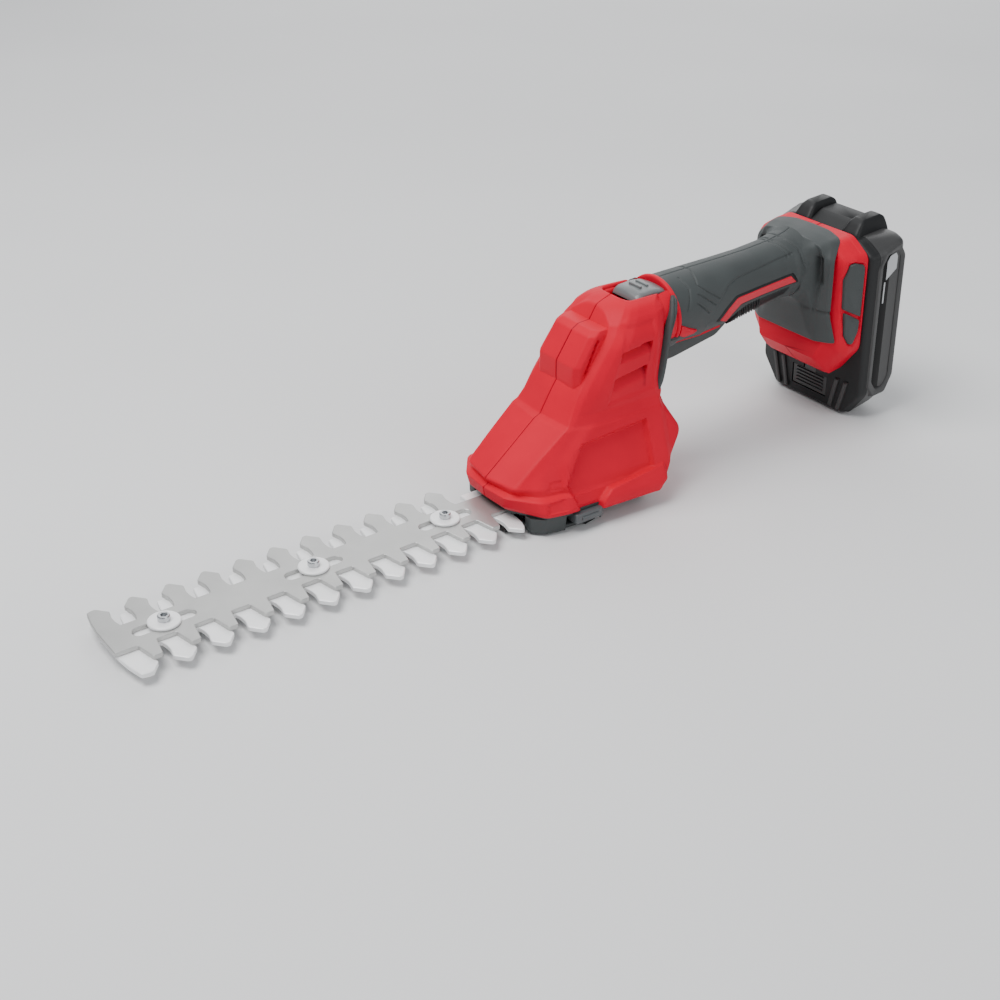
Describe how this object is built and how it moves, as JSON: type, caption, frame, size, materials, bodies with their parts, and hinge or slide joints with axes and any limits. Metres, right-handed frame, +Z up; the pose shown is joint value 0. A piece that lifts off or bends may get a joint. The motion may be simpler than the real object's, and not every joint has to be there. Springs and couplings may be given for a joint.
{
  "type": "cordless hand shears",
  "caption": "Cordless hand shears with a two-sided reciprocating hedge blade, red faceted head, dark soft grip and a slide-on battery pack at the rear foot",
  "frame": {"origin": "under the drive gear's axis, on the base plate's underside", "axes": "+X from the blade's tip towards the battery, +Y to the user's right, +Z up"},
  "size_m": [0.4423, 0.076, 0.1107],
  "materials": {
    "red_plastic": "satin moulded plastic, fine grain",
    "soft_grip": "matt soft overmould",
    "black_plastic": "matt moulded plastic",
    "charcoal_plastic": "matt moulded plastic",
    "grey_plastic": "satin moulded plastic",
    "gloss_black": "semi-gloss plate without marking",
    "bright_steel": "ground and polished steel",
    "satin_steel": "satin steel",
    "screw_steel": "zinc-plated steel",
    "motor_steel": "drawn steel",
    "cast_alloy": "die-cast alloy",
    "bronze": "sintered bronze and copper",
    "board": "lacquered circuit board",
    "wire_skin": "insulated wire",
    "cell_skin": "shrink sleeve"
  },
  "bodies": {
    "casing": {"housing_left": "red_plastic", "housing_right": "red_plastic", "grip_cover_left": "soft_grip", "grip_cover_right": "soft_grip", "rear_strips": "soft_grip", "foot_pads": "soft_grip", "base_plate": "black_plastic", "base_screws": "screw_steel", "housing_screws": "screw_steel", "blade_carrier": "black_plastic", "carrier_screws": "screw_steel", "lower_blade": "bright_steel", "blade_spacers": "screw_steel", "blade_washers": "bright_steel", "blade_screws": "screw_steel", "gearbox_plate": "cast_alloy", "plate_screws": "screw_steel", "gear_shaft": "screw_steel", "gear_clip": "screw_steel", "motor_can": "motor_steel", "motor_magnets": "motor_steel", "motor_cap": "black_plastic", "motor_bearings": "bronze", "motor_screws": "screw_steel", "slider_spring": "screw_steel", "trigger_pin": "screw_steel", "trigger_spring": "screw_steel", "switch_body": "black_plastic", "circuit_board": "board", "wiring": "wire_skin", "terminal_block": "black_plastic", "terminal_blades": "bronze", "release_springs": "screw_steel"},
    "crank": {"drive_gear": "screw_steel", "gear_bush": "bronze", "crank_pin": "screw_steel", "crank_roller": "bronze"},
    "rotor": {"motor_shaft": "screw_steel", "rotor_core": "bronze", "motor_pinion": "screw_steel"},
    "moving_blade": {"upper_blade": "satin_steel"},
    "trigger": {"trigger": "black_plastic"},
    "plunger": {"switch_plunger": "red_plastic"},
    "slider": {"lock_slider": "grey_plastic"},
    "release_left": {"release_left": "grey_plastic"},
    "release_right": {"release_right": "grey_plastic"},
    "pack": {"pack_front": "black_plastic", "pack_rear": "charcoal_plastic", "pack_plates": "gloss_black", "pack_cells": "cell_skin", "cell_straps": "screw_steel", "latch_spring": "screw_steel"},
    "latch": {"pack_latch": "charcoal_plastic"}
  },
  "joints": [
    {"name": "gear_turn", "type": "hinge", "parent": "casing", "child": "crank", "pos_m": [0, 0, 0.024], "axis": [0, 0, 1], "range_deg": [-90, 90]},
    {"name": "rotor_turn", "type": "hinge", "parent": "casing", "child": "rotor", "pos_m": [0.026, 0, 0.024], "axis": [0, 0, 1], "range_deg": [-360, 360]},
    {"name": "blade_stroke", "type": "slide", "parent": "casing", "child": "moving_blade", "axis": [1, 0, 0], "range_m": [-0.0085, 0.0085]},
    {"name": "trigger_pull", "type": "hinge", "parent": "casing", "child": "trigger", "pos_m": [0.11045, 0, 0.07823], "axis": [0, 1, 0], "range_deg": [0, 7], "stiffness_Nm_per_rad": 0.6, "springref_deg": -8.59, "deforming": ["trigger_spring"]},
    {"name": "plunger_push", "type": "slide", "parent": "casing", "child": "plunger", "axis": [-0.0698, 0, 0.9976], "range_m": [0, 0.0046]},
    {"name": "lock_slide", "type": "slide", "parent": "casing", "child": "slider", "axis": [-1, 0, 0], "range_m": [0, 0.005], "stiffness_N_per_m": 300, "springref_m": -0.002, "deforming": ["slider_spring"]},
    {"name": "release_left_press", "type": "slide", "parent": "casing", "child": "release_left", "axis": [0, 1, 0], "range_m": [0, 0.003], "stiffness_N_per_m": 400, "springref_m": -0.002, "deforming": ["release_springs"]},
    {"name": "release_right_press", "type": "slide", "parent": "casing", "child": "release_right", "axis": [0, -1, 0], "range_m": [0, 0.003], "stiffness_N_per_m": 400, "springref_m": -0.002},
    {"name": "pack_slide", "type": "slide", "parent": "casing", "child": "pack", "axis": [0.0698, 0, -0.9976], "range_m": [0, 0.075]},
    {"name": "latch_press", "type": "slide", "parent": "pack", "child": "latch", "axis": [0.9976, 0, 0.0698], "range_m": [0, 0.0024], "stiffness_N_per_m": 400, "springref_m": -0.002, "deforming": ["latch_spring"]}
  ],
  "couplings": [
    {"joint": "rotor_turn", "follows": "gear_turn", "ratio": -4},
    {"joint": "blade_stroke", "follows": "gear_turn", "m_per_rad": 0.005411},
    {"joint": "plunger_push", "follows": "trigger_pull", "m_per_rad": 0.0315}
  ]
}
